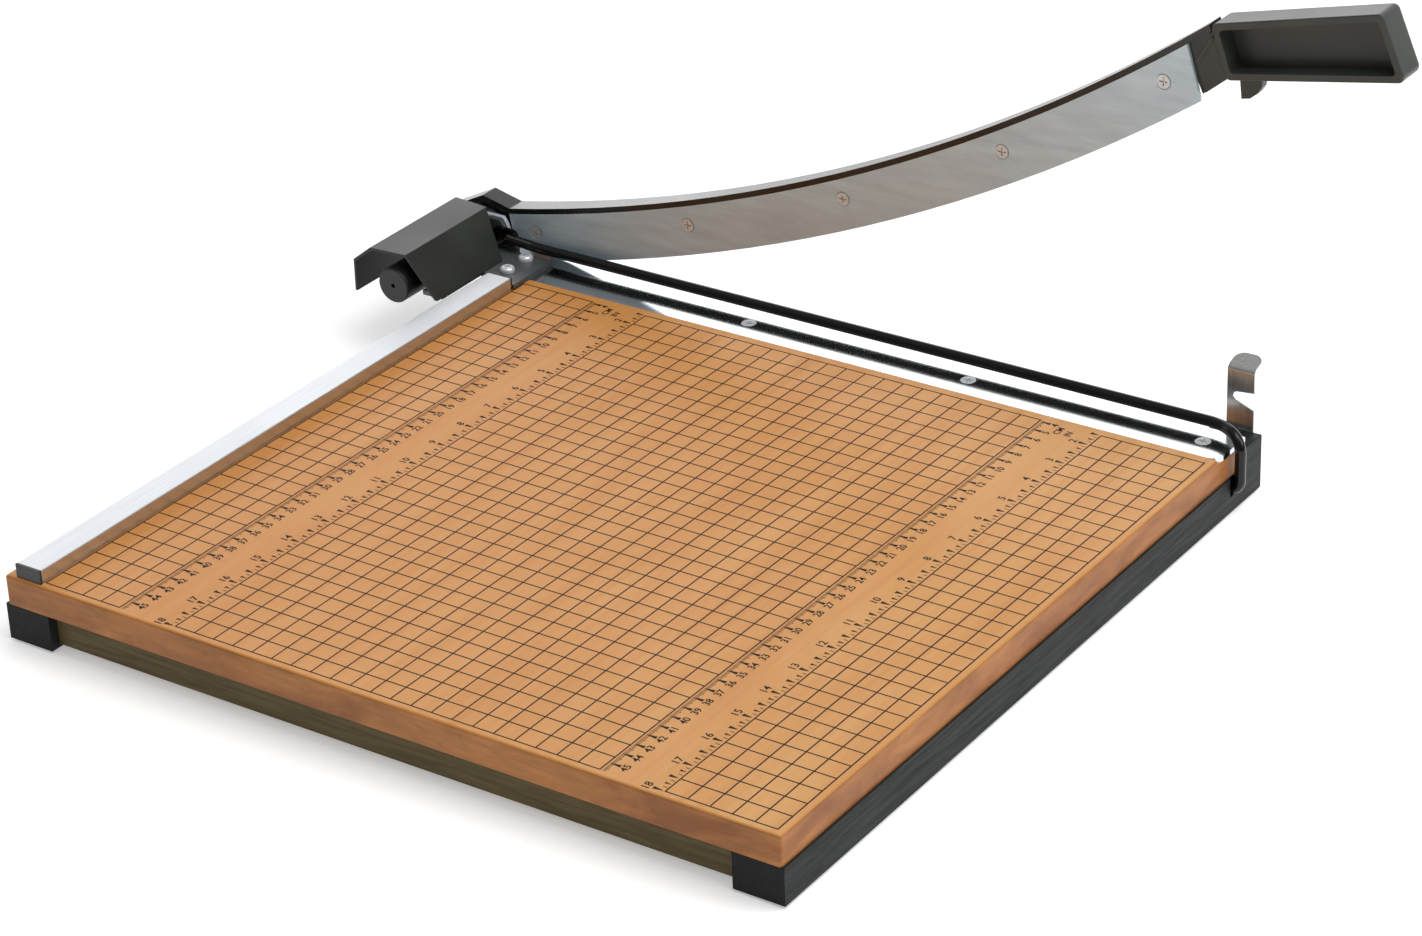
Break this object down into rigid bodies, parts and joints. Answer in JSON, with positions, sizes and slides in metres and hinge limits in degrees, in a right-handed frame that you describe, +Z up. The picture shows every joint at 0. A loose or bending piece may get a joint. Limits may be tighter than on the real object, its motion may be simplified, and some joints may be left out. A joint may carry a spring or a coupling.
{
  "type": "guillotine paper cutter",
  "caption": "Guillotine paper cutter: gridded square baseboard with a fence, steel bed strip, guard rail, sprung curved blade arm with a hollow handle, and a latch clip.",
  "frame": {"origin": "centre of the baseboard's footprint on the surface that it stands on", "axes": "+X towards the blade side (the user's right), +Y away from the user towards the arm's pivot, +Z up"},
  "size_m": [0.4924, 0.6365, 0.2989],
  "materials": {
    "board_wood": "satin varnished board with a printed grid",
    "black_wood": "black painted wood",
    "apron_wood": "olive dark stained wood",
    "foot_rubber": "matte black rubber",
    "zinc_steel": "bright zinc plated",
    "bed_steel": "polished flat steel",
    "fence_aluminium": "satin anodised",
    "plug_plastic": "matte black",
    "rail_paint": "gloss black",
    "bracket_steel": "dark grey semi-gloss",
    "hood_paint": "dark grey-green satin",
    "white_nylon": "natural nylon",
    "spring_steel": "oiled spring steel",
    "cap_plastic": "matte black",
    "arm_paint": "gloss black",
    "blade_steel": "ground steel",
    "handle_plastic": "satin dark grey moulded",
    "clip_nickel": "nickel plated spring steel"
  },
  "bodies": {
    "base": {"board": "board_wood", "front_runner": "black_wood", "rear_runner": "black_wood", "left_apron": "apron_wood", "right_apron": "apron_wood", "rubber_feet": "foot_rubber", "runner_screws": "zinc_steel", "bed_strip": "bed_steel", "strip_screws": "zinc_steel", "fence": "fence_aluminium", "fence_plugs": "plug_plastic", "fence_nuts": "zinc_steel", "fence_screws": "zinc_steel", "guard_rail": "rail_paint", "rail_rivet": "rail_paint", "hinge_bracket": "bracket_steel", "bracket_screws": "zinc_steel", "hood": "hood_paint", "hood_screws": "zinc_steel", "pivot_bushing": "white_nylon", "thrust_washer": "white_nylon", "spring_housing": "rail_paint", "tension_spring": "spring_steel", "clip_foot": "clip_nickel", "clip_screws": "zinc_steel"},
    "blade_arm": {"arm": "arm_paint", "blade": "blade_steel", "blade_screws": "zinc_steel", "catch_stud": "zinc_steel", "handle": "handle_plastic", "handle_screws": "zinc_steel", "pivot_bolt": "zinc_steel", "tension_nut": "zinc_steel", "tension_cap": "cap_plastic", "spring_seat": "zinc_steel"},
    "latch_leaf": {"latch_clip": "clip_nickel"}
  },
  "joints": [
    {"name": "arm_pivot", "type": "hinge", "parent": "base", "child": "blade_arm", "pos_m": [0.232, 0.274, 0.048], "axis": [1, 0, 0], "range_deg": [-45, 21.7]},
    {"name": "latch_flex", "type": "hinge", "parent": "base", "child": "latch_leaf", "pos_m": [0.25015, -0.23125, 0.0343], "axis": [0, 1, 0], "range_deg": [0, 12], "stiffness_Nm_per_rad": 1.2, "springref_deg": -1.15}
  ]
}
